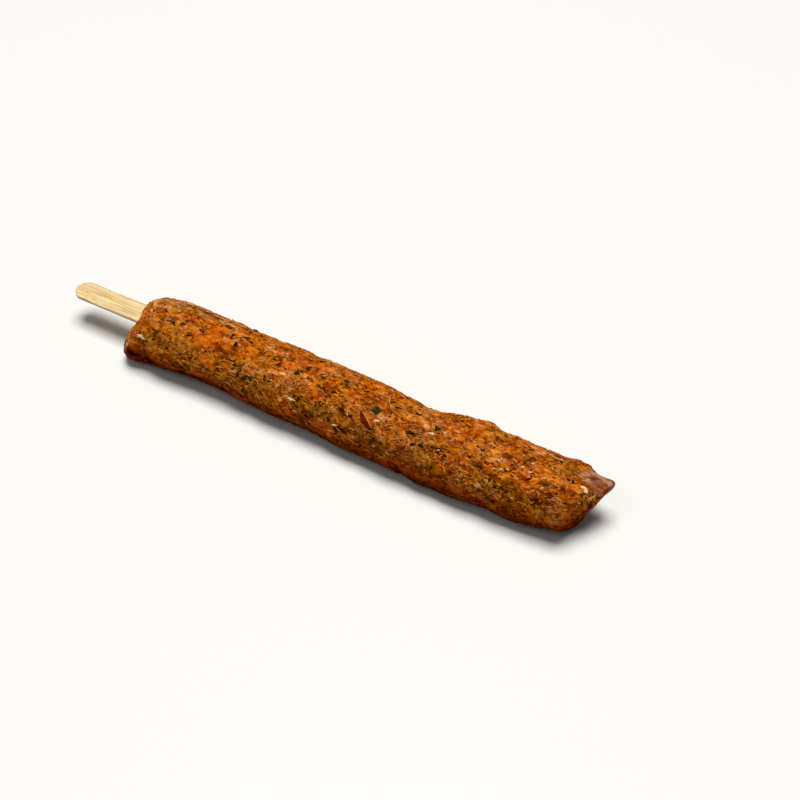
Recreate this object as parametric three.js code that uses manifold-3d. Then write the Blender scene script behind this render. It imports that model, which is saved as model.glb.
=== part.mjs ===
// Kofta skewer: a raw, marinated bar of minced meat, pressed by hand along a flat bamboo stick.
//
// Millimetres. +X runs from the bare end of the stick to the far end of the meat, +Y is the far
// side and +Z is up. The meat lies on Z = 0, and the whole skewer is centred on X = 0 and Y = 0.

import * as THREE from 'three';
import { mergeVertices } from 'three/addons/utils/BufferGeometryUtils.js';
import Module from 'manifold-3d';

// The bar of meat: a rounded oval section, blunt at both ends, flattened where it lies.
const meatLength = 201;
const meatWidth = 30.4;
const meatHeight = 22.8;
const sunkFlat = 0.8; // how much of the oval is pressed flat underneath
const ovalPower = 2.35; // 2 is an ellipse, and more is squarer
const endCorner = 6; // radius that the blunt ends turn with

// The stick: split bamboo with a full round end and eased edges.
const stickLength = 200;
const stickShown = 34; // bare length outside the meat
const stickWidth = 10;
const stickThickness = 1.8;
const stickEasing = 0.35;
const stickSide = 1; // towards +Y from the middle of the meat
const stickRise = 3.3; // middle of the stick above the middle of the meat
const stickGap = 0.3; // clear space between the stick and its pocket

// Faces of the meat: steps from end to end over the skin, and steps around it.
const skinSteps = 96;
const roundSteps = 40;

// Lumps of mince that show all over, as low bumps and dips.
const lumpCount = 380;
const lumpReach = { least: 3.2, most: 5 };
const lumpRise = { least: -0.55, most: 0.85 };

// Herb leaves, chilli, onion and fat that stand a little proud of the meat.
const chipCount = 110;
const chipLength = { least: 2.8, most: 5 };
const chipShape = { width: 0.6, thickness: 0.38 }; // shares of its length
const chipLift = 0.04; // share of its length that its middle stands out by
const chipClearance = 3; // none lie lower than this on the meat

// What the hand leaves behind: waists, bellies and dents. x is the distance from the stick's
// end of the meat, and angle goes round from the far side (0) over the top (90) to the near
// side (180). reach is how far each fades along the bar and around it.
const handMarks = [
  { name: 'far corner by the stick', x: 2, angle: 33, out: 0.9, rise: -1.3, along: 7, around: 7 },
  { name: 'near corner by the stick', x: 1, angle: 212, out: 0.9, rise: 3.2, along: 6, around: 8 },
  { name: 'thumb mark over the stick', x: 2, angle: 128, out: 0.73, rise: -3.4, along: 3.6, around: 7.3 },
  { name: 'near waist', x: 42, angle: 208, out: 1, rise: -1.8, along: 20, around: 12 },
  { name: 'far dent', x: 128, angle: 32, out: 1, rise: -2.6, along: 11, around: 11 },
  { name: 'far bulge', x: 152, angle: 32, out: 1, rise: 1.3, along: 10, around: 11 },
  { name: 'near belly', x: 141, angle: 208, out: 1, rise: 1.6, along: 32, around: 12 },
  { name: 'near side before the far end', x: 193, angle: 208, out: 1, rise: -1.8, along: 10, around: 8 },
  { name: 'near corner of the far end', x: 200, angle: 208, out: 0.9, rise: -1.1, along: 8, around: 8 },
  { name: 'lump of fat on the far end', x: 201, angle: 48, out: 0.35, rise: 5.9, along: 10.3, around: 6.6 },
  { name: 'tip of the lump of fat', x: 201, angle: 29, out: 0.52, rise: 4.6, along: 8, around: 2.6 },
  { name: 'crack in the far end', x: 201, angle: 158, out: 0.6, rise: -1.6, along: 6, around: 3.4 },
];

const halfWidth = meatWidth / 2;
const halfHeight = (meatHeight + sunkFlat) / 2;
const middleHeight = halfHeight - sunkFlat;

const fraction = (value) => value - Math.floor(value);
const between = (range, share) => range.least + (range.most - range.least) * share;

// Radius of the oval section in a direction around the bar's axis.
function ovalRadius(angle) {
  const across = Math.abs(Math.cos(angle) / halfWidth) ** ovalPower;
  const upright = Math.abs(Math.sin(angle) / halfHeight) ** ovalPower;
  return (across + upright) ** (-1 / ovalPower);
}

// A walk over the skin from the middle of one end to the middle of the other: across the blunt
// end, round its corner, along the side, and the same again. It gives x and the share of the
// section's radius that has been reached.
const walkRadius = (halfWidth + halfHeight) / 2;
const walkFace = walkRadius - endCorner;
const walkCorner = (endCorner * Math.PI) / 2;
const walkLength = 2 * (walkFace + walkCorner) + meatLength - 2 * endCorner;

function walk(distance) {
  const fromEnd = Math.min(distance, walkLength - distance);
  let x = fromEnd - walkFace - walkCorner + endCorner;
  let radius = walkRadius;
  if (fromEnd < walkFace) {
    x = 0;
    radius = fromEnd;
  } else if (fromEnd < walkFace + walkCorner) {
    const turned = (fromEnd - walkFace) / endCorner;
    x = endCorner * (1 - Math.cos(turned));
    radius = walkFace + endCorner * Math.sin(turned);
  }
  return {
    x: distance === fromEnd ? x : meatLength - x,
    share: radius / walkRadius,
  };
}

// A point of the smooth bar, with the bar's axis at y = 0 and z = 0 for now.
function smoothPoint(x, share, angle) {
  const radius = share * ovalRadius(angle);
  return new THREE.Vector3(x, radius * Math.cos(angle), radius * Math.sin(angle));
}

// Outward at a point: away from the nearest point of the axis, kept back from the blunt ends.
function outward(point) {
  const inset = halfHeight;
  const axisX = THREE.MathUtils.clamp(point.x, inset, meatLength - inset);
  return new THREE.Vector3(point.x - axisX, point.y, point.z).normalize();
}

const marks = handMarks.map((mark) => ({
  ...mark,
  centre: smoothPoint(mark.x, mark.out, THREE.MathUtils.degToRad(mark.angle)),
}));

// Lumps are strewn evenly by a low-discrepancy sequence over the walk and around the bar, and
// thinned towards the middle of each end, where the walk's rings are small.
const lumps = [];
for (let i = 0; i < lumpCount; i += 1) {
  const place = walk(fraction(i * 0.8191725134) * walkLength);
  if (fraction(i * 0.6180339887) > place.share) continue;
  const angle = 2 * Math.PI * fraction(i * 0.6710436067);
  const share = fraction(i * 0.5497004779);
  lumps.push({
    centre: smoothPoint(place.x, place.share, angle),
    rise: between(lumpRise, share),
    reach: between(lumpReach, fraction(share * 7)),
  });
}

// How far the meat stands out from the smooth bar at a point.
function relief(point) {
  let rise = 0;
  for (const mark of marks) {
    const along = (point.x - mark.centre.x) / mark.along;
    const around = Math.hypot(point.y - mark.centre.y, point.z - mark.centre.z) / mark.around;
    rise += mark.rise * Math.exp(-along * along - around * around);
  }
  for (const lump of lumps) {
    const away = point.distanceToSquared(lump.centre) / (lump.reach * lump.reach);
    if (away < 6) rise += lump.rise * Math.exp(-away);
  }
  return rise;
}

// A point of the finished skin, with the flat underside at z = 0.
function skinPoint(distance, angle) {
  const place = walk(distance);
  const point = smoothPoint(place.x, place.share, angle);
  point.addScaledVector(outward(point), relief(point));
  point.z = Math.max(point.z + middleHeight, 0);
  return point;
}

// One closed skin: a point at the middle of each end, and rings of quads between them.
function meatGeometry() {
  const positions = [];
  const faces = [];
  const addPoint = (point) => positions.push(point.x, point.y, point.z);
  addPoint(skinPoint(0, 0));
  for (let step = 1; step < skinSteps; step += 1) {
    for (let turn = 0; turn < roundSteps; turn += 1) {
      addPoint(skinPoint((step / skinSteps) * walkLength, (turn / roundSteps) * 2 * Math.PI));
    }
  }
  addPoint(skinPoint(walkLength, 0));
  const last = positions.length / 3 - 1;
  const at = (step, turn) => 1 + (step - 1) * roundSteps + (turn % roundSteps);
  for (let turn = 0; turn < roundSteps; turn += 1) {
    faces.push(0, at(1, turn + 1), at(1, turn));
    faces.push(last, at(skinSteps - 1, turn), at(skinSteps - 1, turn + 1));
    for (let step = 1; step < skinSteps - 1; step += 1) {
      faces.push(at(step, turn), at(step, turn + 1), at(step + 1, turn + 1));
      faces.push(at(step, turn), at(step + 1, turn + 1), at(step + 1, turn));
    }
  }
  const geometry = new THREE.BufferGeometry();
  geometry.setAttribute('position', new THREE.Float32BufferAttribute(positions, 3));
  geometry.setIndex(faces);
  return geometry;
}

// One chip is a flattened twenty-sided grain, half sunk in the skin and turned on it.
function chipGeometry(point, out, length, turned) {
  const along = new THREE.Vector3(1, 0, 0).addScaledVector(out, -out.x).normalize();
  const across = new THREE.Vector3().crossVectors(out, along);
  const onSkin = new THREE.Matrix4().makeBasis(along, across, out);
  const chip = new THREE.IcosahedronGeometry(0.5, 0);
  chip.scale(length, length * chipShape.width, length * chipShape.thickness);
  chip.rotateZ(turned);
  chip.applyMatrix4(onSkin);
  const middle = point.clone().addScaledVector(out, length * chipLift);
  chip.translate(middle.x, middle.y, middle.z);
  return chip;
}

// Chips are strewn by a second sequence, and those that would reach the underside are left out.
function chipGeometries() {
  const chips = [];
  for (let i = 1; i <= chipCount; i += 1) {
    const distance = fraction(i * 0.7548776662) * walkLength;
    const angle = 2 * Math.PI * fraction(i * 0.569840291);
    const point = skinPoint(distance, angle);
    const place = walk(distance);
    const out = outward(smoothPoint(place.x, place.share, angle));
    const size = fraction(i * 0.6180339887);
    if (point.z < chipClearance || size > place.share) continue;
    chips.push(chipGeometry(point, out, between(chipLength, size), i * 2.4));
  }
  return chips;
}

// The stick's outline is a straight strip with a half circle at each end.
function strip(length, width, thickness, easing) {
  const radius = width / 2 - easing;
  const outline = new THREE.Shape();
  outline.absarc(length / 2 - width / 2, 0, radius, -Math.PI / 2, Math.PI / 2);
  outline.absarc(width / 2 - length / 2, 0, radius, Math.PI / 2, (3 * Math.PI) / 2);
  outline.closePath();
  const geometry = new THREE.ExtrudeGeometry(outline, {
    depth: thickness - 2 * easing,
    curveSegments: 12,
    bevelEnabled: easing > 0,
    bevelThickness: easing,
    bevelSize: easing,
    bevelSegments: 2,
  });
  geometry.translate(stickLength / 2 - stickShown, stickSide, middleHeight + stickRise);
  geometry.translate(0, 0, easing - thickness / 2);
  return geometry;
}

const wasm = await Module();
wasm.setup();

function solid(geometry) {
  const bare = geometry.clone();
  bare.deleteAttribute('normal');
  bare.deleteAttribute('uv');
  const merged = mergeVertices(bare, 1e-4);
  return new wasm.Manifold(
    new wasm.Mesh({
      numProp: 3,
      vertProperties: new Float32Array(merged.attributes.position.array),
      triVerts: new Uint32Array(merged.index.array),
    }),
  );
}

function geometryOf(body) {
  const mesh = body.getMesh();
  const geometry = new THREE.BufferGeometry();
  geometry.setAttribute('position', new THREE.BufferAttribute(mesh.vertProperties, 3));
  geometry.setIndex(new THREE.BufferAttribute(mesh.triVerts, 1));
  geometry.computeVertexNormals();
  return geometry;
}

// The meat carries its chips and is open at one end for the stick, with a little room round it.
function kofta() {
  let meat = solid(meatGeometry());
  for (const chip of chipGeometries()) meat = meat.add(solid(chip));
  const room = 2 * stickGap;
  const pocket = strip(stickLength + room, stickWidth + room, stickThickness + room, 0);
  const geometry = geometryOf(meat.subtract(solid(pocket)));
  const material = new THREE.MeshStandardMaterial({ color: 0xb4641e, roughness: 0.4, metalness: 0 });
  const mesh = new THREE.Mesh(geometry, material);
  mesh.name = 'kofta';
  return mesh;
}

function stick() {
  const geometry = strip(stickLength, stickWidth, stickThickness, stickEasing);
  const material = new THREE.MeshStandardMaterial({ color: 0xf0dca8, roughness: 0.7, metalness: 0 });
  const mesh = new THREE.Mesh(geometry, material);
  mesh.name = 'stick';
  return mesh;
}

const skewer = new THREE.Group();
skewer.add(kofta(), stick());

// The origin is under the middle of the whole skewer.
const extent = new THREE.Box3().setFromObject(skewer, true);
const centre = extent.getCenter(new THREE.Vector3());
skewer.position.set(-centre.x, -centre.y, -extent.min.z);

export default skewer;
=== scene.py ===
"""A raw, marinated kofta skewer on a pale table, dressed over its CAD solids.

Sizes are in millimetres in the code and become metres as each mesh is made. +X runs from the
bare stick to the far end of the meat, +Y to the far side, and +Z is up.
"""

import math

import bpy
import numpy as np
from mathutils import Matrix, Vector


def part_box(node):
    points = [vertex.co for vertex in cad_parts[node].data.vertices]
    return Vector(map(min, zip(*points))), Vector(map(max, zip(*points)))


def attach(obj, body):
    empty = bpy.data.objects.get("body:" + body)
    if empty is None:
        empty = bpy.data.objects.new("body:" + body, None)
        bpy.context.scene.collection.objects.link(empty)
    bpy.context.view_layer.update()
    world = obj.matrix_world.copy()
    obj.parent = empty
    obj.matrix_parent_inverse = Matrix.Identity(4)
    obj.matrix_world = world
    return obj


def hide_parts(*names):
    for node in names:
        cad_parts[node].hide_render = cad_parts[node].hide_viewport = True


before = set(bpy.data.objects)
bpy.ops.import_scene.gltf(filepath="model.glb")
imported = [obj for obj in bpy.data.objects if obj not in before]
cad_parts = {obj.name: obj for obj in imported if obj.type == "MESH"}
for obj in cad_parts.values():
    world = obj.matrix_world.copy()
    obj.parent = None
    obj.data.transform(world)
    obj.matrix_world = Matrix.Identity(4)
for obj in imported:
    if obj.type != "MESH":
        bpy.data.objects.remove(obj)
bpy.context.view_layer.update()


# Camera. It looks down along the skewer from the near side, past its far end. Its place is
# measured from the tip of the stick, on the stick's middle line.
CAMERA_AZIMUTH, CAMERA_ELEVATION = 30.2, 45.0
CAMERA_DISTANCE, CAMERA_LENS = 642.0, 73.5
CAMERA_AIM = (149.3, 12.2, 12.0)
MM = 0.001


def stand(holder, aim, azimuth, elevation, distance):
    """Sets up a camera or lamp at a distance from the point that it faces, in metres."""
    turn, rise = math.radians(azimuth), math.radians(elevation)
    flat = math.cos(rise)
    away = Vector((math.sin(turn) * flat, -math.cos(turn) * flat, math.sin(rise)))
    holder.location = Vector(aim) + away * distance
    holder.rotation_euler = (-away).to_track_quat("-Z", "Y").to_euler()
    bpy.context.collection.objects.link(holder)


stick_low, stick_high = (np.array(corner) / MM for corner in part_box("stick"))
tip = np.array([stick_low[0], (stick_low[1] + stick_high[1]) / 2, 0.0])
camera = bpy.data.objects.new("camera", bpy.data.cameras.new("camera"))
camera.data.lens = CAMERA_LENS
camera.data.clip_start, camera.data.clip_end = 0.01, 50
stand(camera, (tip + CAMERA_AIM) * MM, CAMERA_AZIMUTH, CAMERA_ELEVATION, CAMERA_DISTANCE * MM)
bpy.context.scene.camera = camera


# Studio. A wide pale table top, a wide soft lamp behind and above, a weaker one in front, and
# an even pale room.
class Wire:
    """One socket of a material's tree. Sums on it are written as Python sums."""

    def __init__(self, tree, socket=None):
        self.tree = tree
        self.socket = socket

    def node(self, kind, settings=None, inputs=None, output=0):
        """A new node in the same tree: its settings first, then its sockets' values or links."""
        made = self.tree.nodes.new(kind)
        for name, value in (settings or {}).items():
            setattr(made, name, value)
        for key, value in (inputs or {}).items():
            if isinstance(value, Wire):
                self.tree.links.new(value.socket, made.inputs[key])
            else:
                made.inputs[key].default_value = value
        return Wire(self.tree, made.outputs[output])

    def math(self, operation, *values):
        return self.node("ShaderNodeMath", {"operation": operation}, dict(enumerate(values)))

    def __add__(self, other):
        return self.math("ADD", self, other)

    def __sub__(self, other):
        return self.math("SUBTRACT", self, other)

    def __rsub__(self, other):
        return self.math("SUBTRACT", other, self)

    def __mul__(self, other):
        return self.math("MULTIPLY", self, other)

    __radd__, __rmul__ = __add__, __mul__

    def between(self, low, high):
        """0 below low, 1 above high, and smooth in between."""
        return self.node(
            "ShaderNodeMapRange",
            {"interpolation_type": "SMOOTHSTEP"},
            {"Value": self, "From Min": low, "From Max": high},
        )

    def mixed(self, other, share, way="MIX"):
        """This colour mixed with another by share."""
        settings = {"data_type": "RGBA", "blend_type": way}
        return self.node("ShaderNodeMix", settings, {0: share, 6: self, 7: other}, output=2)

    def place(self):
        """Points of the piece itself, in metres."""
        return self.node("ShaderNodeTexCoord", output=3)

    def own_tint(self, output=0):
        """The tint painted on the mesh, or its fourth number."""
        return self.node("ShaderNodeAttribute", {"attribute_name": "tint"}, output=output)

    def coordinate(self, axis):
        return self.node("ShaderNodeSeparateXYZ", inputs={"Vector": self}, output=axis)

    def stretched(self, scale, turned=(0.0, 0.0, 0.0)):
        inputs = {"Vector": self, "Rotation": turned, "Scale": scale}
        return self.node("ShaderNodeMapping", inputs=inputs)

    def noise(self, scale, detail, distortion=0.0):
        inputs = {"Vector": self, "Scale": scale, "Detail": detail, "Distortion": distortion}
        return self.node("ShaderNodeTexNoise", inputs=inputs)

    def bump(self, strength, distance):
        inputs = {"Height": self, "Strength": strength, "Distance": distance}
        return self.node("ShaderNodeBump", inputs=inputs)


def paint(red, green, blue):
    """A colour given as 0 to 255, as the linear numbers that a shader takes."""
    linear = []
    for channel in (red, green, blue):
        level = channel / 255
        linear.append(level / 12.92 if channel <= 10 else ((level + 0.055) / 1.055) ** 2.4)
    return (*linear, 1.0)


def paints(*colours):
    return np.array([paint(*colour) for colour in colours])


def finish_of(name, **uniform):
    """A new material: its starting wire, its shader node, and the values that don't vary."""
    material = bpy.data.materials.new(name)
    material.use_nodes = True
    shader = material.node_tree.nodes["Principled BSDF"]
    for key, value in uniform.items():
        shader.inputs[key.replace("_", " ")].default_value = value
    return material, Wire(material.node_tree), shader


def feed(shader, **wires):
    """Links wires to the shader's sockets of the same names."""
    for key, wire in wires.items():
        wire.tree.links.new(wire.socket, shader.inputs[key.replace("_", " ")])


FLOOR_SIZE, FLOOR_TINT, FLOOR_ROUGHNESS = 6.0, paint(230, 229, 227), 0.6
ROOM_LIGHT = 0.12
LAMPS = [  # name, azimuth, elevation, distance, size, watts, colour
    ("key_lamp", 195, 84, 3.0, 1.5, 103.0, (1.0, 0.99, 0.97)),
    ("fill_lamp", -30, 50, 3.2, 1.6, 9.6, (1.0, 1.0, 1.0)),
]

floor_mesh = bpy.data.meshes.new("table_top")
half = FLOOR_SIZE / 2
corners = [(-half, -half, 0), (half, -half, 0), (half, half, 0), (-half, half, 0)]
floor_mesh.from_pydata(corners, [], [(0, 1, 2, 3)])
table_top = bpy.data.objects.new("table_top", floor_mesh)
bpy.context.collection.objects.link(table_top)
pale_table, *_ = finish_of("pale_table", Base_Color=FLOOR_TINT, Roughness=FLOOR_ROUGHNESS)
floor_mesh.materials.append(pale_table)

room = bpy.data.worlds.new("room")
room.use_nodes = True
room.node_tree.nodes["Background"].inputs["Color"].default_value = (1.0, 1.0, 1.0, 1)
room.node_tree.nodes["Background"].inputs["Strength"].default_value = ROOM_LIGHT
bpy.context.scene.world = room
bpy.context.scene.view_settings.view_transform = "Standard"

for name, azimuth, elevation, distance, size, watts, colour in LAMPS:
    light = bpy.data.lights.new(name, "AREA")
    light.size, light.energy, light.color = size, watts, colour
    stand(bpy.data.objects.new(name, light), (0, 0, 0), azimuth, elevation, distance)


# Mince. The bar is a rounded oval of minced meat, blunt at both ends and a little flat where
# it lies. Hands pressed it along the stick, which left waists, bellies and dents.
MEAT_LENGTH, MEAT_WIDTH, MEAT_HEIGHT = 201.0, 30.4, 22.8
SUNK_FLAT, OVAL_POWER, END_CORNER = 0.8, 2.35, 6.0
HALF_WIDTH, HALF_HEIGHT = MEAT_WIDTH / 2, (MEAT_HEIGHT + SUNK_FLAT) / 2
MIDDLE_HEIGHT = HALF_HEIGHT - SUNK_FLAT
STICK_SHOWN, STICK_SIDE, STICK_RISE = 34.0, 1.0, 3.3
SHIFT = tip + [STICK_SHOWN, -STICK_SIDE, 0.0]  # from the tip to the middle of the near end
HAND_MARKS = [  # x, angle, share of the radius, rise, reach along, reach around
    (2, 33, 0.9, -1.3, 7, 7), (1, 212, 0.9, 3.2, 6, 8), (2, 128, 0.73, -3.4, 3.6, 7.3),
    (42, 208, 1, -1.8, 20, 12), (128, 32, 1, -2.6, 11, 11), (152, 32, 1, 1.3, 10, 11),
    (141, 208, 1, 1.6, 32, 12), (193, 208, 1, -1.8, 10, 8), (200, 208, 0.9, -1.1, 8, 8),
    (201, 48, 0.35, 5.9, 10.3, 6.6), (201, 29, 0.52, 4.6, 8, 2.6), (201, 158, 0.6, -1.6, 6, 3.4),
]
LUMP_COUNT, LUMP_REACH, LUMP_RISE = 380, (3.2, 5.0), (-0.55, 0.85)
LUMP_STEPS = (0.8191725134, 0.6710436067, 0.5497004779, 0.6180339887)
LUMP_MIX, LUMP_END = 7, 6  # how size and reach are mixed, and where a lump stops

WALK_RADIUS = (HALF_WIDTH + HALF_HEIGHT) / 2
WALK_FACE = WALK_RADIUS - END_CORNER
WALK_CORNER = END_CORNER * math.pi / 2
WALK_LENGTH = 2 * (WALK_FACE + WALK_CORNER) + MEAT_LENGTH - 2 * END_CORNER


def walk(distance):
    """x and the share of the radius at a distance over the skin from the middle of the near end."""
    distance = np.asarray(distance, float)
    from_end = np.minimum(distance, WALK_LENGTH - distance)
    turned = np.clip((from_end - WALK_FACE) / END_CORNER, 0, math.pi / 2)
    x = END_CORNER * (1 - np.cos(turned)) + np.maximum(from_end - WALK_FACE - WALK_CORNER, 0)
    radius = np.minimum(from_end, WALK_FACE) + END_CORNER * np.sin(turned)
    return np.where(distance == from_end, x, MEAT_LENGTH - x), radius / WALK_RADIUS


def smooth_point(x, share, angle):
    """Points of the bar before hands pressed it, from its middle line."""
    across = np.abs(np.cos(angle) / HALF_WIDTH) ** OVAL_POWER
    upright = np.abs(np.sin(angle) / HALF_HEIGHT) ** OVAL_POWER
    radius = share * (across + upright) ** (-1 / OVAL_POWER)
    return np.stack(np.broadcast_arrays(x, radius * np.cos(angle), radius * np.sin(angle)), -1)


def unit(vectors):
    return vectors / np.maximum(np.linalg.norm(vectors, axis=-1, keepdims=True), 1e-9)


def outward(point):
    axis_x = np.clip(point[..., 0], HALF_HEIGHT, MEAT_LENGTH - HALF_HEIGHT)
    return unit(np.stack([point[..., 0] - axis_x, point[..., 1], point[..., 2]], -1))


def strewn(count, *steps, first=0):
    """Evenly strewn shares from 0 to 1, one row for each step of a low-discrepancy sequence."""
    return [np.mod(np.arange(first, first + count) * step, 1.0) for step in steps]


def spread(limits, share):
    """Numbers between two limits, by shares from 0 to 1."""
    return limits[0] + (limits[1] - limits[0]) * share


marks = [(smooth_point(x, out, math.radians(angle)), *rest) for x, angle, out, *rest in HAND_MARKS]
along, around, size, keep = strewn(LUMP_COUNT, *LUMP_STEPS)
lump_x, lump_share = walk(along * WALK_LENGTH)
lump_kept = keep <= lump_share
lump_centre = smooth_point(lump_x, lump_share, 2 * math.pi * around)[lump_kept]
lump_rise = spread(LUMP_RISE, size)[lump_kept]
lump_reach = spread(LUMP_REACH, np.mod(size * LUMP_MIX, 1.0))[lump_kept]


def relief(point):
    """How far the meat stands out from the smooth bar."""
    total = np.zeros(point.shape[:-1])
    for centre, height, reach_along, reach_around in marks:
        off = point - centre
        across = np.hypot(off[..., 1], off[..., 2]) / reach_around
        total += height * np.exp(-((off[..., 0] / reach_along) ** 2) - across**2)
    for centre, height, reach in zip(lump_centre, lump_rise, lump_reach):
        away = ((point - centre) ** 2).sum(-1) / reach**2
        total += height * np.exp(-away) * (away < LUMP_END)
    return total


def skin(distance, angle):
    """Points of the meat's skin and the outward directions there."""
    x, share = walk(distance)
    point = smooth_point(x, share, angle)
    out = outward(point)
    point = point + out * relief(point)[..., None]
    point[..., 2] = np.maximum(point[..., 2] + MIDDLE_HEIGHT, 0)
    return point + SHIFT, out


def make_piece(name, finish, points, faces, tint=None, slot="marinated_mince", node="kofta"):
    """One smooth mesh of points in millimetres and triangles.

    The points of many like bodies come in rows, one row a body, with the triangles of one body
    and a tint for each body or each of its points.
    """
    if points.ndim == 3:
        bodies, points_each = points.shape[:2]
        faces = faces + np.arange(bodies)[:, None, None] * points_each
        tint = tint if tint.ndim == 3 else np.repeat(tint[:, None], points_each, 1)
    points = points.reshape(-1, 3)
    faces = faces.reshape(-1, 3)
    mesh = bpy.data.meshes.new(name)
    mesh.vertices.add(len(points))
    mesh.vertices.foreach_set("co", (points * MM).astype(np.float32).ravel())
    mesh.loops.add(faces.size)
    mesh.loops.foreach_set("vertex_index", faces.astype(np.int32).ravel())
    mesh.polygons.add(len(faces))
    mesh.polygons.foreach_set("loop_start", np.arange(0, faces.size, 3, dtype=np.int32))
    mesh.update(calc_edges=True)
    mesh.polygons.foreach_set("use_smooth", np.ones(len(faces), bool))
    if tint is not None:
        colours = mesh.attributes.new("tint", "FLOAT_COLOR", "POINT")
        colours.data.foreach_set("color", tint.reshape(-1, 4).astype(np.float32).ravel())
    mesh.validate()
    mesh.materials.append(finish)
    piece = bpy.data.objects.new(name, mesh)
    bpy.context.collection.objects.link(piece)
    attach(piece, "root")
    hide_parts(node)


def tube_faces(rings, sides):
    """Triangles of a closed tube: a point, rings of sides, and a point."""
    last = 1 + rings * sides
    faces = []
    for side in range(sides):
        after = (side + 1) % sides
        faces.append((0, 1 + after, 1 + side))
        faces.append((last, last - sides + side, last - sides + after))
        for ring in range(rings - 1):
            a, b = 1 + ring * sides + side, 1 + ring * sides + after
            faces.append((a, b, b + sides))
            faces.append((a, b + sides, a + sides))
    return np.array(faces)


def as_tube(grid):
    """The rows of a grid as the point, rings and point of a closed tube."""
    return np.concatenate([grid[0, :1], grid[1:-1].reshape(-1, grid.shape[-1]), grid[-1, :1]])


# Colours of the mince: lean meat, spice paste, fat and herb juice. Mince is never quite mixed, so
# they lie in soft patches, with streaks over them. Some streaks and spots are painted light:
# painted shade in crevices and in darker places, painted highlights on wet fat and in lighter
# places, and a painted rim of light along the far top edge.
MINCE_SEED = 11
MINCE_TINTS = paints(
    (186, 99, 3), (172, 105, 2), (234, 126, 12), (140, 49, 4), (208, 134, 62), (104, 42, 10),
    (126, 77, 0), (156, 85, 56),
)
MINCE_SHARES = np.array([0.22, 0.20, 0.16, 0.09, 0.10, 0.05, 0.10, 0.08])
PATCH_SIZES = [(70, 7.5, 0.22), (300, 3.0, 0.38), (1500, 1.3, 0.4)]  # count, reach, share
PATCH_STRETCH, PATCH_BATCH = 0.7, 4000
STREAK_SHARE = 0.8
EYE_POWER, DARKEST = 2.2, 0.02


def smear(red, green, blue, covers):
    """A colour whose fourth number is how much of the mince's grain still shows through it."""
    return (*paint(red, green, blue)[:3], 1 - covers)


PASTE, OIL_AND_SHEEN, BROTH = smear(222, 120, 28, 0.5), smear(190, 124, 44, 0.4), smear(140, 90, 10, 0.0)
# The pale fat smears are partly painted highlights, wet glints on the fat. The sinew streaks are partly
# painted sheen.
LEAN, SINEW_AND_SHEEN, FAT_AND_GLINT = smear(126, 56, 30, 0.3), smear(196, 140, 84, 0.7), smear(240, 174, 112, 0.7)
# The first and the last of these are painted shade: dark crevices, and broad darker spots.
CREVICE_SHADE, LEAF_JUICE, SHADE_SPOT = smear(60, 14, 2, 0.0), smear(46, 28, 2, 0.0), smear(132, 63, 2, 0.0)
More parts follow.
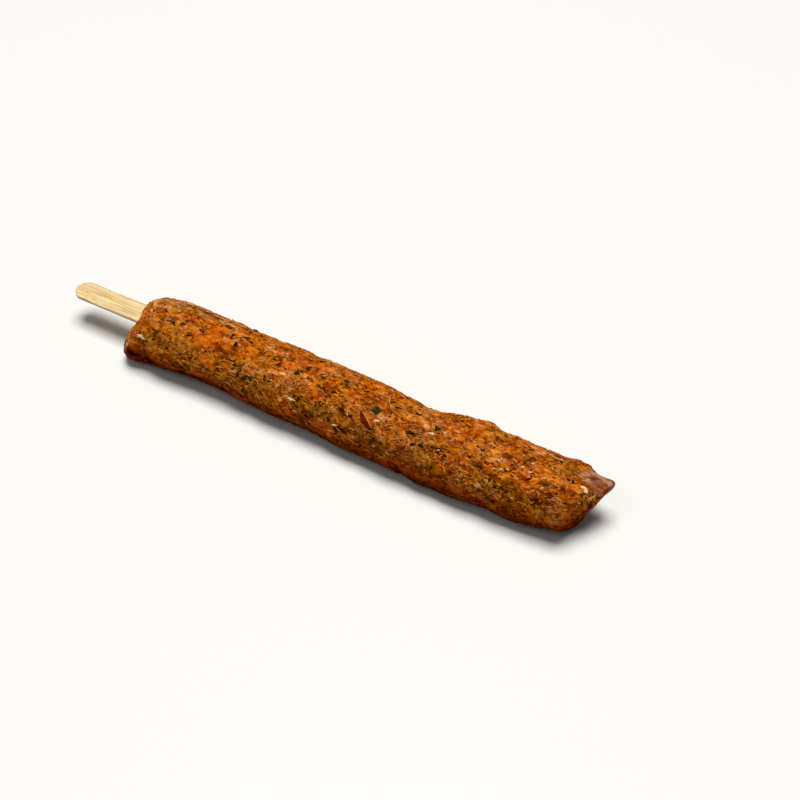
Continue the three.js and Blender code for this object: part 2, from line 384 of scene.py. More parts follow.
# Streaks run from a distance over the skin and an angle to another, and end with their reach.
# A spot has one place. Each lies over those before it.
STREAKS = [
    (PASTE, [
        (57, 105, 2.5), (48, 92, 3), (66, 102, 3.5), (85, 124, 2), (141, 131, 2), (157, 88, 2.4),
        (201, 101, 3), (195, 92, 3), (208.7, 106.5, 211, 103, 1.5), (11.5, 108, 21, 136, 1.6),
        (40, 112, 50, 114, 3), (27, 92, 31, 84, 2), (48, 76, 56, 72, 3), (84, 96, 88, 93, 2.6),
        (93, 66, 99, 62, 3),
    ]),
    (LEAN, [
        (104, 115, 3.5), (60, 123, 1.8), (29, 100, 3), (36, 87, 2.5), (124, 85, 2.2),
        (206.5, 116.5, 210, 116, 1.5),
    ]),
    # Oil, and thin streaks along the far top edge that are a painted rim of light.
    (OIL_AND_SHEEN, [
        (14, 86, 28, 72, 3.4), (48, 50, 72, 50, 1.2), (74, 48, 96, 48, 1), (98, 47, 120, 48, 1),
        (134, 60, 152, 66, 1), (166, 60, 196, 57, 1), (154, 128, 2.2),
    ]),
    (BROTH, [(202, 91, 205.5, 73, 2.2)]),
    (OIL_AND_SHEEN, [(208, 148, 213, 170, 2), (213, 122, 217, 138, 1.8), (214.7, 114, 216.9, 103, 1.2)]),
    # A pale film of sinew, with painted sheen on it and on the near end's lower rim.
    (SINEW_AND_SHEEN, [
        (14, 66, 18, 56, 1.8), (17, 58, 27, 48, 2.2), (29, 44, 52, 42, 1.2), (26, 61, 36, 58, 1),
        (35, 58, 52, 53, 1.2), (14.1, 172, 13.4, 187, 0.8), (13.4, 187, 14.6, 200, 0.8),
    ]),
    (BROTH, [
        (24, 148, 38, 150, 3), (44, 140, 54, 146, 2.4), (118, 150, 126, 154, 2.4),
        (146, 146, 152, 150, 2.2), (40, 158, 58, 160, 3.2), (66, 156, 82, 156, 4),
        (94, 150, 108, 150, 4), (124, 164, 140, 166, 3), (154, 160, 168, 160, 3),
        (176, 148, 200, 156, 3.6), (213, 150, 216, 190, 2.4),
    ]),
    # Pale fat with painted wet highlights.
    (FAT_AND_GLINT, [
        (29.5, 50, 1.3), (16.5, 76, 18.5, 84, 1.1), (18, 101, 18.5, 104, 0.8), (21, 80, 24, 77, 0.8),
        (52, 57, 54, 58, 0.6), (64, 144, 66, 147, 0.7), (72, 72, 73, 75, 0.8), (78, 75, 80, 71, 0.8),
    ]),
    (PASTE, [(212, 158, 214, 176, 2.4)]),
    (OIL_AND_SHEEN, [(216, 116, 219, 150, 2.4)]),
    (PASTE, [(216, 158, 218, 190, 1.8)]),
    # Painted shade: broad darker spots.
    (SHADE_SPOT, [
        (198, 138, 204, 135, 2.6), (202, 149, 209, 139, 2.8), (87, 142, 3), (205, 96, 206, 94, 2.4),
        (170, 112, 171, 114, 2.6), (142, 109, 2.6), (71, 134, 2.6), (35, 121, 2.4),
        (132, 132, 133, 132, 2.4), (175, 56, 176, 58, 2.4), (98, 55, 2), (143, 62, 2), (145, 125, 2.2),
        (66, 182, 68, 182, 2.6),
    ]),
    # These spots of paste are painted light too: they lighten broad places.
    (PASTE, [
        (217, 196, 217, 206, 2.6), (41, 74, 42, 76, 2.8), (49, 143, 54, 152, 2.4),
        (143, 180, 148, 187, 2.6), (83, 62, 84, 62, 2.4), (47, 86, 2.2), (129, 102, 2.4),
        (160, 158, 160, 160, 2.4), (52, 102, 53, 102, 2.2), (89, 175, 89, 178, 2.2),
        (161, 99, 162, 96, 2.2), (176, 130, 2), (63, 92, 64, 92, 2.2), (93, 95, 2),
        (76, 67, 77, 68, 2.2), (115, 151, 116, 150, 2), (103, 100, 103, 102, 2),
        (100, 136, 101, 136, 2), (163, 79, 163, 81, 1.8), (158, 187, 159, 188, 2.2),
        (211, 177, 219, 165, 1.8),
    ]),
    # More painted shade: smaller darker spots.
    (SHADE_SPOT, [
        (19, 76, 20, 75, 1.6), (18, 131, 19, 132, 1.8), (39, 136, 1.6), (206, 91, 207, 92, 1.6),
        (144, 66, 1.6),
    ]),
    # More pale fat with painted wet highlights.
    (FAT_AND_GLINT, [
        (95, 114, 96, 112, 0.8), (102, 75, 105, 75, 0.7), (128, 120, 130, 124, 0.8),
        (147, 104, 148, 106, 0.7), (155, 100, 155, 104, 0.8), (160, 44, 162, 50, 0.9),
        (178, 116, 181, 107, 0.9), (190, 91, 192, 93, 0.8), (192, 58, 194, 51, 0.9),
    ]),
    # Painted shade in dark crevices.
    (CREVICE_SHADE, [
        (17.6, 158, 23.5, 161, 0.8), (203.5, 163, 207.7, 160, 1.5), (208.5, 113.5, 0.6),
        (219, 108, 221, 120, 1.1), (221, 120, 219, 200, 0.8), (216.4, 80, 219.4, 60, 0.8),
        (15.6, 186, 24.5, 197, 1.1), (24, 192, 60, 196, 1.8), (113, 165, 119, 162, 0.9),
        (108, 150, 111, 147, 0.8), (112, 118, 115, 121, 0.7), (84, 75, 84, 82, 0.8),
        (170, 80, 171, 85, 0.8), (172, 112, 175, 110, 1), (170, 132, 176, 138, 1.1),
        (188, 92, 190, 80, 0.8), (196, 148, 199, 148, 0.9), (42, 98, 45, 102, 0.9),
    ]),
    (LEAF_JUICE, [
        (105, 48, 108, 52, 0.8), (89, 103, 92, 97, 0.9), (113, 134, 116, 142, 1.5),
        (100, 113, 103, 116, 1), (76, 64, 78, 64, 0.8), (50, 62, 53, 65, 1.1),
        (128, 148, 131, 158, 1.4), (157, 134, 160, 132, 1.1), (179, 93, 182, 97, 1.1),
        (92, 83, 95, 78, 1.2),
    ]),
]
draw = np.random.default_rng(MINCE_SEED)
fine_angles = np.linspace(0, 2 * math.pi, 721)
oval_rim = smooth_point(0, 1, fine_angles)
oval_run = np.append(0, np.cumsum(np.linalg.norm(np.diff(oval_rim, axis=0), axis=1)))


def scattered(count, rng):
    """Random places on the skin, as close together on the ends as along the sides."""
    where = rng.uniform(0, WALK_LENGTH, count * 2)
    where = where[rng.uniform(0, 1, count * 2) <= walk(where)[1]][:count]
    return where, np.interp(rng.uniform(0, oval_run[-1], len(where)), oval_run, fine_angles)


def drawn_tints(count, rng):
    return MINCE_TINTS[rng.choice(len(MINCE_TINTS), count, p=MINCE_SHARES / MINCE_SHARES.sum())]


patch_layers = [
    (skin(*scattered(count, draw))[0], drawn_tints(count, draw), reach, share)
    for count, reach, share in PATCH_SIZES
]


def blended(points, centres, tints, reach):
    """The tints of the nearby patches, blended softly into each other."""
    stretch = np.array([PATCH_STRETCH, 1, 1]) / reach
    points, centres = ((each * stretch).astype(np.float32) for each in (points, centres))
    blends = []
    for few in np.array_split(points, 1 + len(points) // PATCH_BATCH):
        away = (few**2).sum(-1)[:, None] + (centres**2).sum(-1) - 2 * few @ centres.T
        weight = np.exp(away.min(1, keepdims=True) - away)
        blends.append(weight @ tints / weight.sum(1, keepdims=True))
    return np.concatenate(blends)


def lightened(tint, amount):
    """Tints made lighter or darker by the same amount in each channel, as an eye judges it."""
    seen = np.maximum(tint[..., :3], 0) ** (1 / EYE_POWER) + np.asarray(amount)[..., None]
    return np.concatenate([np.clip(seen, DARKEST, 1) ** EYE_POWER, tint[..., 3:]], -1)


def streaked(points, tints, streaks):
    """Tints with placed spots and streaks of colour laid over them, one after another."""
    for tint, rows in streaks:
        for *ends, reach in rows:
            start = skin(ends[0], math.radians(ends[1]))[0]
            run = skin(ends[-2], math.radians(ends[-1]))[0] - start
            along = np.clip((points - start) @ run / max(run @ run, 1e-6), 0, 1)
            away = np.linalg.norm(points - start - along[:, None] * run, axis=1) / reach
            near = np.exp(-(away**3))[:, None] * STREAK_SHARE
            tints = tints * (1 - near) + np.array(tint) * near
    return tints


def patchy(points, tints, share):
    """Tints drawn towards those of the patch around them."""
    around = sum(blended(points, *layer) * part for *layer, part in patch_layers)
    return tints * (1 - share) + streaked(points, around, STREAKS) * share


# The core: clumps and grains of mince, squeezed together in the hand until they overlap, with
# furrows and pits between them.
CORE_ROWS, CORE_COLUMNS = 500, 194
UNDER_REACH, UNDER_SAVING = 0.7, 0.6  # the underside in radians, and the points saved there
# Count, then ranges of length, width and height, and how far each turns from the bar's length.
CLUMPS = (900, (2.8, 7.5), (1.8, 3.6), (0.1, 0.42), 0.5)
GRAINS = (7000, (1.3, 3.8), (0.7, 1.6), (0.04, 0.2), 0.6)
FURROWS = (1900, (0.7, 3.6), (0.7, 1.1), (0.2, 0.65), 0.6)
DOME_POWER, DOME_MARGIN, CORE_SUNK = 0.7, 0.5, 0.3
CLUMP_SHADE, GRAIN_SHADE = 0.12, 0.2
# Painted shade in the furrows: its tint, how fast it darkens with depth, and its most.
FURROW_SHADE_TINT, FURROW_SHADE, FURROW_DARKEST = paint(70, 14, 0), 1.8, 0.85
FILM_RANGE, FILM_GRAIN = (18, 34), 0.45  # the near end's film of fat thins out over this range


def core_angles():
    """Angles round the bar, closer together where the meat is seen than underneath."""
    under = np.exp(-(((fine_angles - 1.5 * math.pi) / UNDER_REACH) ** 2))
    weight = np.cumsum(1 - UNDER_SAVING * under)
    weight = (weight - weight[0]) / (weight[-1] - weight[0])
    return np.interp(np.arange(CORE_COLUMNS) / CORE_COLUMNS, weight, fine_angles)


def lengthwise_and_across(out):
    """Directions on the skin: along the bar, and across it."""
    lengthwise = unit(np.array([1.0, 0, 0]) - out * out[..., :1])
    return lengthwise, np.cross(out, lengthwise)


def softened(grid):
    """A grid of values with each blended into its neighbours along and round the bar."""
    grid = (np.roll(grid, 1, 1) + np.roll(grid, -1, 1) + 2 * grid) / 4
    inner = (grid[:-2] + grid[2:] + 2 * grid[1:-1]) / 4
    return np.concatenate([grid[:1], inner, grid[-1:]])


def core():
    """The bar itself: its points, triangles and tints."""
    rows = np.linspace(0, WALK_LENGTH, CORE_ROWS)
    base, out = skin(rows[:, None], core_angles()[None, :])

    def strewn_domes(count, lengths, widths, heights, turned):
        """Overlapping domes: how high they stand, and a random share for each."""
        where, angle = scattered(count, draw)
        count = len(where)
        centre, centre_out = skin(where, angle)
        share = draw.uniform(0, 1, count)
        heading = draw.normal(0, turned, count)[:, None]
        long, wide = draw.uniform(*lengths, count) / 2, draw.uniform(*widths, count) / 2
        high = draw.uniform(*heights, count)
        lengthwise, across = lengthwise_and_across(centre_out)
        pointing = lengthwise * np.cos(heading) + across * np.sin(heading)
        height, own_share = np.zeros(base.shape[:2]), np.zeros(base.shape[:2])
        for i in range(count):
            reach = long[i] + DOME_MARGIN
            ends = np.searchsorted(rows, [where[i] - reach, where[i] + reach])
            span = slice(*np.clip(ends, 0, CORE_ROWS))
            off = base[span] - centre[i]
            part = off @ pointing[i]
            rest = np.maximum((off**2).sum(-1) - part**2, 0)
            inside = np.maximum(1 - (part / long[i]) ** 2 - rest / wide[i] ** 2, 0)
            dome = high[i] * inside**DOME_POWER
            higher = dome > height[span]
            height[span] = np.where(higher, dome, height[span])
            own_share[span][higher] = share[i]
        return height, own_share

    clump, clump_share = strewn_domes(*CLUMPS)
    grain, grain_share = strewn_domes(*GRAINS)
    furrow, _ = strewn_domes(*FURROWS)

    lifted = softened(clump + grain - CORE_SUNK - furrow)
    lifted = lifted * np.clip(walk(rows)[1][:, None] * 3, 0, 1)
    tint = patchy(base.reshape(-1, 3), 0, 1).reshape(*base.shape[:2], 4)
    tint = lightened(tint, (clump_share - 0.5) * CLUMP_SHADE + (grain_share - 0.5) * GRAIN_SHADE)
    # Painted shade: the deeper the furrow, the darker the colour.
    dark = np.clip(furrow * FURROW_SHADE, 0, FURROW_DARKEST)[..., None]
    tint = softened(tint * (1 - dark) + np.array(FURROW_SHADE_TINT) * dark)
    tint[..., 3] *= np.interp(rows, FILM_RANGE, (FILM_GRAIN, 1))[:, None]
    points = base + out * lifted[..., None]
    points[..., 2] = np.maximum(points[..., 2], 0)
    return as_tube(points), tube_faces(CORE_ROWS - 2, CORE_COLUMNS), as_tube(tint)


GRAIN_STRETCH = (0.55, 1.0, 1.0)  # draws the grain out along the bar
# Painted shade: the mince darkens towards the table, where its lower sides lie in shade.
LOW_PAINTED_SHADES = [  # tint, none above this height, all below this one, in metres
    (paint(204, 172, 110), 0.018, 0.008),
    (paint(172, 142, 84), 0.013, 0.004),
    (paint(160, 110, 60), 0.006, 0.001),
]


def mince_finish(name, mottle, bump):
    """Moist mince: marbled paste and flecks, with painted shade in pits and low down and painted
    glints.
    """
    material, start, shader = finish_of(
        name,
        Subsurface_Weight=0.1,
        Subsurface_Scale=0.001,
        Subsurface_Radius=(1.0, 0.3, 0.05),
        Specular_IOR_Level=0.0,
    )
    place = start.place()
    height = place.coordinate(2)
    drawn = place.stretched(GRAIN_STRETCH)
    swirl, crease = drawn.noise(300.0, 3.0, 1.4), drawn.noise(430.0, 2.0, 1.3)
    fine, fleck = drawn.noise(600.0, 1.5, 2.0), drawn.noise(760.0, 1.0, 0.5)
    crowded = place.noise(110.0, 1.0).between(0.46, 0.6)
    layers = [  # tint, share of it
        (paint(230, 130, 34), swirl.between(0.52, 0.7) * 0.5),
        (paint(98, 40, 8), (1 - swirl.between(0.34, 0.48)) * 0.55),
        # painted shade in the pits of the fine dents
        (paint(64, 10, 0), 1 - fine.between(0.36, 0.44)),
        # painted highlights on the tops of the fine dents, where the mince is not crowded
        (paint(240, 176, 116), fine.between(0.58, 0.66) * (1 - crowded) * 0.5),
        (paint(30, 18, 0), fleck.between(0.63, 0.68) * crowded),
    ]
    colour = start.own_tint()
    shown = start.own_tint(output=3) * (crowded * 0.5 + 0.72) * mottle
    for layer_tint, share in layers:
        colour = colour.mixed(layer_tint, share * shown)
    # Painted shade low down.
    for shade, high, low in LOW_PAINTED_SHADES:
        colour = colour.mixed(shade, 1 - height.between(low, high), "MULTIPLY")
    dents = (crease + fine * 0.4).bump(bump, 0.0005)
    feed(shader, Base_Color=colour, Roughness=swirl * 0.3 + 0.36, Normal=dents)
    return material


mince = mince_finish("moist_mince", 0.85, 0.8)
make_piece("mince_bar", mince, *core())


# Strands. The mincer's plate leaves short bent strands of meat. The hand that squeezes the
# mince along the stick presses them almost flat into the bar.
STRAND_SEED, STRAND_COUNT, STRAND_RINGS, STRAND_SIDES = 21, 1500, 5, 8
STRAND_LENGTH, STRAND_WIDTH, STRAND_PROUD = (1.6, 4.6), (0.6, 1.3), (-0.12, 0.05)
STRAND_TURN, STRAND_BEND, STRAND_SOILED = 0.5, 0.35, 0.92
STRAND_THICK, STRAND_SLIM, STRAND_SHADE = 0.7, 0.9, 0.09
STRAND_TAPER = (2.4, 0.6)  # powers of how a strand narrows to its ends
STICK_ROOM = (4.0, 6.5, 2.2)  # kept clear round the bare stick: along, across and up
TABLE_ROOM, END_ROOM = 0.05, 0.3


def laid(where, angle, heading, bend, length, width, height, proud, rings, sides):
    """Closed bent strands that lie on the skin and stand proud of it: rows of points."""
    t = np.linspace(-1, 1, rings + 2)
    steps = (t[None, :] * length[:, None]) / 2
    way = heading[:, None] + bend[:, None] * t[None, :]
    run = where[:, None] + np.cos(way) * steps
    turned = angle[:, None] + np.sin(way) * steps / WALK_RADIUS
    path, out = skin(np.clip(run, END_ROOM, WALK_LENGTH - END_ROOM), turned)
    side = unit(np.cross(out, unit(np.gradient(path, axis=1))))
    thick = np.maximum(1 - np.abs(t) ** STRAND_TAPER[0], 0) ** STRAND_TAPER[1]
    phi = np.linspace(0, 2 * math.pi, sides, endpoint=False)
    middle = path + out * (proud - height / 2)[:, None, None]
    ring_side = side[:, :, None] * np.cos(phi)[None, None, :, None]
    ring_up = out[:, :, None] * np.sin(phi)[None, None, :, None]
    half_width, half_height = (each[:, None, None, None] / 2 for each in (width, height))
    spread_out = (ring_side * half_width + ring_up * half_height) * thick[None, :, None, None]
    rim = middle[:, :, None] + spread_out
    rings_of_points = rim[:, 1:-1].reshape(len(where), -1, 3)
    return np.concatenate([middle[:, :1], rings_of_points, middle[:, -1:]], axis=1)


def clear_of_stick_and_table(points):
    """Which bodies stay above the table and away from the bare stick."""
    middle = points.mean(1) - SHIFT - [0, STICK_SIDE, MIDDLE_HEIGHT + STICK_RISE]
    on_stick = (middle[:, 0] < STICK_ROOM[0]) & (np.abs(middle[:, 1:]) < STICK_ROOM[1:]).all(1)
    return (points[..., 2].min(1) > TABLE_ROOM) & ~on_stick


def strewn_mince(seed, count, length, width, proud, turn_by, bend, soiled, rings, sides):
    """Many strands or crumbs strewn over the skin, each with a tint of its own."""
    rng = np.random.default_rng(seed)
    where, angle = scattered(count, rng)
    count = len(where)
    length, width = rng.uniform(*length, count), rng.uniform(*width, count)
    width = np.minimum(width, length * STRAND_SLIM)
    points = laid(
        where, angle, rng.normal(0, turn_by, count), rng.normal(0, bend, count),
        length, width, width * STRAND_THICK, rng.uniform(*proud, count), rings, sides,
    )
    points = points[clear_of_stick_and_table(points)]
    tint = patchy(points.mean(1), drawn_tints(len(points), rng), soiled)
    tint = lightened(tint, rng.uniform(-STRAND_SHADE, STRAND_SHADE, len(tint)))
    return points, tube_faces(rings, sides), tint


make_piece("mince_strands", mince, *strewn_mince(
    STRAND_SEED, STRAND_COUNT, STRAND_LENGTH, STRAND_WIDTH, STRAND_PROUD,
    STRAND_TURN, STRAND_BEND, STRAND_SOILED, STRAND_RINGS, STRAND_SIDES,
))


# Crumbs. Small grains of lean, fat and spice paste that broke off the strands in mixing. They
# fill in between the strands, held by the sticky mince.
CRUMB_SEED, CRUMB_COUNT, CRUMB_RINGS, CRUMB_SIDES = 31, 2600, 3, 6
CRUMB_LENGTH, CRUMB_WIDTH, CRUMB_PROUD = (0.8, 2.4), (0.5, 1.2), (-0.12, 0.04)
CRUMB_TURN, CRUMB_BEND, CRUMB_SOILED = 0.7, 0.2, 0.88

make_piece("mince_crumbs", mince, *strewn_mince(
    CRUMB_SEED, CRUMB_COUNT, CRUMB_LENGTH, CRUMB_WIDTH, CRUMB_PROUD,
    CRUMB_TURN, CRUMB_BEND, CRUMB_SOILED, CRUMB_RINGS, CRUMB_SIDES,
))


# Herb leaves. Parsley, chopped small and mixed into the mince, dark and wet from the marinade.
# The leaves lie flat in the surface, singly and in crowds.
HERBS_PLACED = [  # distance over the skin, angle, length, width, heading
    (26.9, 136, 2.6, 1.6, 0.2), (20.5, 159, 2.2, 1, 0), (23.5, 156, 1.8, 1, 0.4),
    (35, 103, 2.8, 1.2, 0.1), (59.7, 99, 2.8, 2.4, 0.3), (56, 84, 3.6, 1.7, 1.5),
    (62.5, 132, 3.8, 0.9, 0), (70.5, 148, 3.4, 1.6, 0.5), (70.8, 169, 3, 1.8, 0.8),
    (77.3, 96, 1.8, 1.2, 0), (81.5, 139, 4, 0.9, 0.1), (89.5, 107, 3, 1.5, 0.3),
    (92, 87, 2.8, 2.4, 0.9), (93.7, 50, 2.6, 2, 0.2), (109, 78, 4, 1.6, 0.1), (103, 161, 3, 1.6, 0),
    (123.7, 174, 3, 2, 0.4), (129.5, 163, 3.8, 2, 1.4), (126.9, 115, 4, 3.8, 0.2),
    (142.8, 128, 3.8, 1.6, 0.3), (149.4, 140, 2.4, 2, 0.5), (155, 135, 5, 1.2, 0),
    (151.5, 100, 3.4, 2.8, 0.6), (171.3, 108, 2.6, 1.4, 0.2), (168.8, 127, 1.6, 1, 0),
    (179.7, 68, 3.8, 1.6, 0.2), (175.6, 51, 2.4, 1.8, 0.4), (180, 172, 2.8, 1.8, 0.5),
    (182.3, 152, 2.4, 1.5, 0.2), (199.6, 65, 2.2, 1.6, 0.1), (207.5, 95, 2.8, 2.2, 0.3),
]
HERB_CROWDS_PLACED = [  # distance over the skin, angle
    (62, 130), (69, 136), (66, 144), (76, 140), (98, 142), (110, 140), (113, 134), (127, 152),
    (147, 134), (152, 138), (174, 150), (181, 152), (92, 84), (170, 110),
]
HERB_SEED, HERB_FLECKS, HERB_CROWDS, HERB_SPREAD = 41, 160, 32, (3.4, 0.24)
HERB_SIZE, HERB_SLIM, HERB_TURN = (0.9, 3.1), (0.4, 0.75), 0.8
HERB_THICKNESS, HERB_TILT, HERB_RIM_SHADES = 0.1, 0.05, (-0.02, 0.16)
HERB_TINTS = paints(
    (32, 22, 0), (28, 22, 0), (24, 27, 2), (42, 30, 1), (46, 28, 2), (54, 36, 6), (50, 20, 0),
    (64, 44, 8),
)
HERB_DARKS = 4  # the first tints, for the placed leaves
LEAF_SIDES, LEAF_RAGGED, LEAF_WAVE = 9, (-0.5, 0.25), 0.05
FLAKE_LIFT = (-0.1, 0.06)
FLAKE_FACES = tube_faces(2, LEAF_SIDES)[:, ::-1]


def with_placed(rows, *strewn_columns):
    """The columns of the placed rows, whose second is in degrees, each with strewn ones after it."""
    rows = np.array(rows, float)
    rows[:, 1] = np.radians(rows[:, 1])
    return [np.concatenate([own, more]) for own, more in zip(rows.T, strewn_columns)]


def laid_flakes(where, angle, heading, length, width, thickness, lift, tilt, rng):
    """Thin irregular flakes on the skin: a middle and a rim, above and below."""
    count = len(where)
    path, out = skin(where, angle)
    lengthwise, sideways = lengthwise_and_across(out)
    turn_by = heading[:, None]
    ahead = lengthwise * np.cos(turn_by) + sideways * np.sin(turn_by)
    side = np.cross(out, ahead)
    phi = np.linspace(0, 2 * math.pi, LEAF_SIDES, endpoint=False)
    ragged = 1 + rng.uniform(*LEAF_RAGGED, (count, LEAF_SIDES))
    a = ragged * np.cos(phi) * length[:, None] / 2
    b = ragged * np.sin(phi) * width[:, None] / 2
    wave = rng.normal(0, LEAF_WAVE, (count, LEAF_SIDES)) * width[:, None] + a * tilt[:, None]
    fall = -(a**2 + b**2) / (2 * WALK_RADIUS)
    rim = path[:, None] + ahead[:, None] * a[..., None] + side[:, None] * b[..., None]
    rim = rim + out[:, None] * (wave + fall + lift[:, None])[..., None]
    top_middle = path + out * (lift + thickness)[:, None]
    low_middle = path + out * (lift - thickness)[:, None]
    rise_by = out[:, None] * np.reshape(thickness * 0.5, (-1, 1, 1))
    rims = [rim + rise_by, rim - rise_by]
    return np.concatenate([top_middle[:, None], *rims, low_middle[:, None]], 1)


def uneven_rims(tint, points_each, shades, rng):
    """A tint for each point of each flake, lighter or darker round its rim."""
    tint = np.repeat(tint[:, None], points_each, 1)
    tint[:, 1:-1] = lightened(tint[:, 1:-1], rng.uniform(*shades, tint[:, 1:-1].shape[:2]))
    return tint


def herb_leaves():
    rng = np.random.default_rng(HERB_SEED)
    crowds_placed = np.array(HERB_CROWDS_PLACED) * (1, math.pi / 180)
    crowds = np.concatenate([np.stack(scattered(HERB_CROWDS, rng), 1), crowds_placed])
    crowd = crowds[rng.integers(0, len(crowds), HERB_FLECKS)]
    where = np.clip(crowd[:, 0] + rng.normal(0, HERB_SPREAD[0], HERB_FLECKS), 1, WALK_LENGTH - 1)
    angle = crowd[:, 1] + rng.normal(0, HERB_SPREAD[1], HERB_FLECKS)
    size = spread(HERB_SIZE, rng.uniform(0, 1, HERB_FLECKS) ** 2)
    where, angle, length, width, heading = with_placed(
        HERBS_PLACED, where, angle, size, size * rng.uniform(*HERB_SLIM, HERB_FLECKS),
        rng.normal(0, HERB_TURN, HERB_FLECKS),
    )
    count = len(where)
    points = laid_flakes(
        where, angle, heading, length, width, HERB_THICKNESS,
        rng.uniform(*FLAKE_LIFT, count), rng.normal(0, HERB_TILT, count), rng,
    )
    points = points[clear_of_stick_and_table(points)]
    count, points_each = points.shape[:2]
    dark, any_tint = rng.integers(0, [[HERB_DARKS], [len(HERB_TINTS)]], (2, count))
    picked = np.where(np.arange(count) < len(HERBS_PLACED), dark, any_tint)
    return points, FLAKE_FACES, uneven_rims(HERB_TINTS[picked], points_each, HERB_RIM_SHADES, rng)


wet_parsley, start, shader = finish_of("wet_parsley", Specular_IOR_Level=0.0)
veins = start.place().noise(1400.0, 2.0)
feed(
    shader,
    Base_Color=start.own_tint().mixed(paint(98, 72, 14), veins.between(0.54, 0.68) * 0.6),
    Roughness=veins * 0.3 + 0.3,
    Normal=veins.bump(0.4, 0.0003),
)
make_piece("herb_leaves", wet_parsley, *herb_leaves())


# Pepper. Ground black pepper and dried chilli, strewn through the whole mix. The fine dark
# specks are pressed flush with the mince.
SPECK_SEED, SPECK_COUNT, SPECK_SIZE = 45, 700, (0.4, 0.9)
SPECK_LONG, SPECK_WIDE, SPECK_TURN = 1.6, 0.7, 0.6
SPECK_THICKNESS, SPECK_LIFT = 0.08, (-0.08, 0.06)
SPECK_TINTS = paints((66, 22, 2), (84, 32, 6), (52, 24, 6), (104, 30, 4))


def pepper():
    rng = np.random.default_rng(SPECK_SEED)
    where, angle = scattered(SPECK_COUNT, rng)
    count = len(where)
    size = rng.uniform(*SPECK_SIZE, count)
    points = laid_flakes(
        where, angle, rng.normal(0, SPECK_TURN, count), size * SPECK_LONG, size * SPECK_WIDE,
        SPECK_THICKNESS, rng.uniform(*SPECK_LIFT, count), np.zeros(count), rng,
    )
    points = points[clear_of_stick_and_table(points)]
    return points, FLAKE_FACES, SPECK_TINTS[rng.integers(0, len(SPECK_TINTS), len(points))]


make_piece("pepper_specks", mince_finish("ground_pepper", 0.15, 0.3), *pepper())


# Fat. Small pale grains of fat and onion, cut by the mincer with the lean, wet and bright. They
# lie level with the mince, more of them towards the far end. The placed ones stand for wet
# glints too: partly fat, partly painted highlights.
FAT_AND_GLINTS_PLACED = [  # distance over the skin, angle, length, width, heading, tint
    (14, 152, 3.4, 0.9, -1.4, 2), (18, 102, 2.6, 1, 0.8, 0), (22.7, 79, 3.4, 1.2, 1.4, 2),
    (28.5, 78, 1.6, 0.6, 0, 0), (29.5, 51, 3.4, 2, 0.3, 0), (48.7, 176, 1.8, 0.6, 0.2, 2),
    (51.2, 143, 2.2, 0.8, 0.4, 2), (55, 117, 1.2, 0.6, 0, 1), (65, 145, 2.6, 0.8, 0.6, 3),
    (72.7, 73, 2.2, 1.1, 0.7, 0), (79, 73, 2.2, 1, -0.4, 0), (85, 120, 4, 1.6, 0, 4),
    (92.5, 152, 3.8, 1, 0.1, 1), (95, 113, 2.2, 1, -0.4, 0), (100.3, 86, 2, 0.8, 1.1, 0),
    (103, 75, 2.8, 1.2, 0, 2), (113.4, 162, 3, 0.8, 0.3, 1), (128.8, 131, 2.8, 1.4, 0.2, 1),
    (129.3, 122, 2.4, 1.4, 1.4, 2), (147, 105, 2, 1, -0.1, 0), (151, 115, 2.8, 1.2, 0.1, 1),
    (155, 102, 1.8, 1, 1, 0), (159.4, 91, 4, 1.1, 0.2, 2), (161.3, 47, 3.2, 1.2, 1, 0),
    (171.2, 64, 2.6, 0.9, 0.8, 2), (174.7, 163, 3, 1.4, -0.5, 3), (176, 160, 3.4, 1.2, -0.4, 3),
    (178.9, 129, 1.6, 0.7, 0, 0), (179.3, 114, 2.4, 1.2, -0.6, 0), (179.7, 108, 2.4, 1.2, -0.8, 2),
    (181.3, 126, 2.2, 0.8, 0.6, 1), (183.6, 122, 1.8, 0.7, 0.2, 1), (188.5, 107, 2.2, 0.9, 0.4, 0),
    (191, 92, 2, 0.9, 0.3, 0), (191.7, 111, 2, 1, 0.5, 0), (193, 54, 3.4, 1.2, -1.3, 2),
    (197.5, 112, 4.6, 1.1, 0.7, 2), (199, 128, 2.2, 0.9, 0.9, 0), (200.3, 171, 2.4, 1.2, 1.4, 3),
]
FAT_SEED, FAT_COUNT, FAT_SIZE, FAT_KEPT = 47, 560, (0.4, 1.1), (0.35, 1.0)
FAT_LONG, FAT_WIDE, FAT_TURN, FAT_TILT = 1.5, 0.45, 0.6, 0.06
FAT_SHADES, FAT_RIM_SHADES = (0.35, 1.0), (-0.22, 0.02)
FAT_TINTS = paints(
    (240, 176, 118), (252, 218, 168), (214, 150, 106), (204, 154, 92), (246, 176, 76),
)


def fat_grains_and_glints():
    rng = np.random.default_rng(FAT_SEED)
    where, angle = scattered(FAT_COUNT, rng)
    kept = rng.uniform(0, 1, len(where)) < np.interp(where, (0, WALK_LENGTH), FAT_KEPT)
    more = kept.sum()
    size = rng.uniform(*FAT_SIZE, more)
    where, angle, length, width, heading, picked = with_placed(
        FAT_AND_GLINTS_PLACED, where[kept], angle[kept], size * FAT_LONG, size * FAT_WIDE,
        rng.normal(0, FAT_TURN, more), rng.integers(0, len(FAT_TINTS), more),
    )
    count = len(where)
    points = laid_flakes(
        where, angle, heading, length, width, 0.1 + width * 0.1,
        rng.uniform(*FLAKE_LIFT, count), rng.normal(0, FAT_TILT, count), rng,
    )
    clear = clear_of_stick_and_table(points)
    points, tint = points[clear], FAT_TINTS[picked[clear].astype(int)]
    own = len(FAT_AND_GLINTS_PLACED)
    tint[own:, :3] *= rng.uniform(*FAT_SHADES, (len(tint) - own, 1))
    return points, FLAKE_FACES, uneven_rims(tint, points.shape[1], FAT_RIM_SHADES, rng)


make_piece("fat_grains_and_glints", mince_finish("wet_fat", 0.6, 0.4), *fat_grains_and_glints())


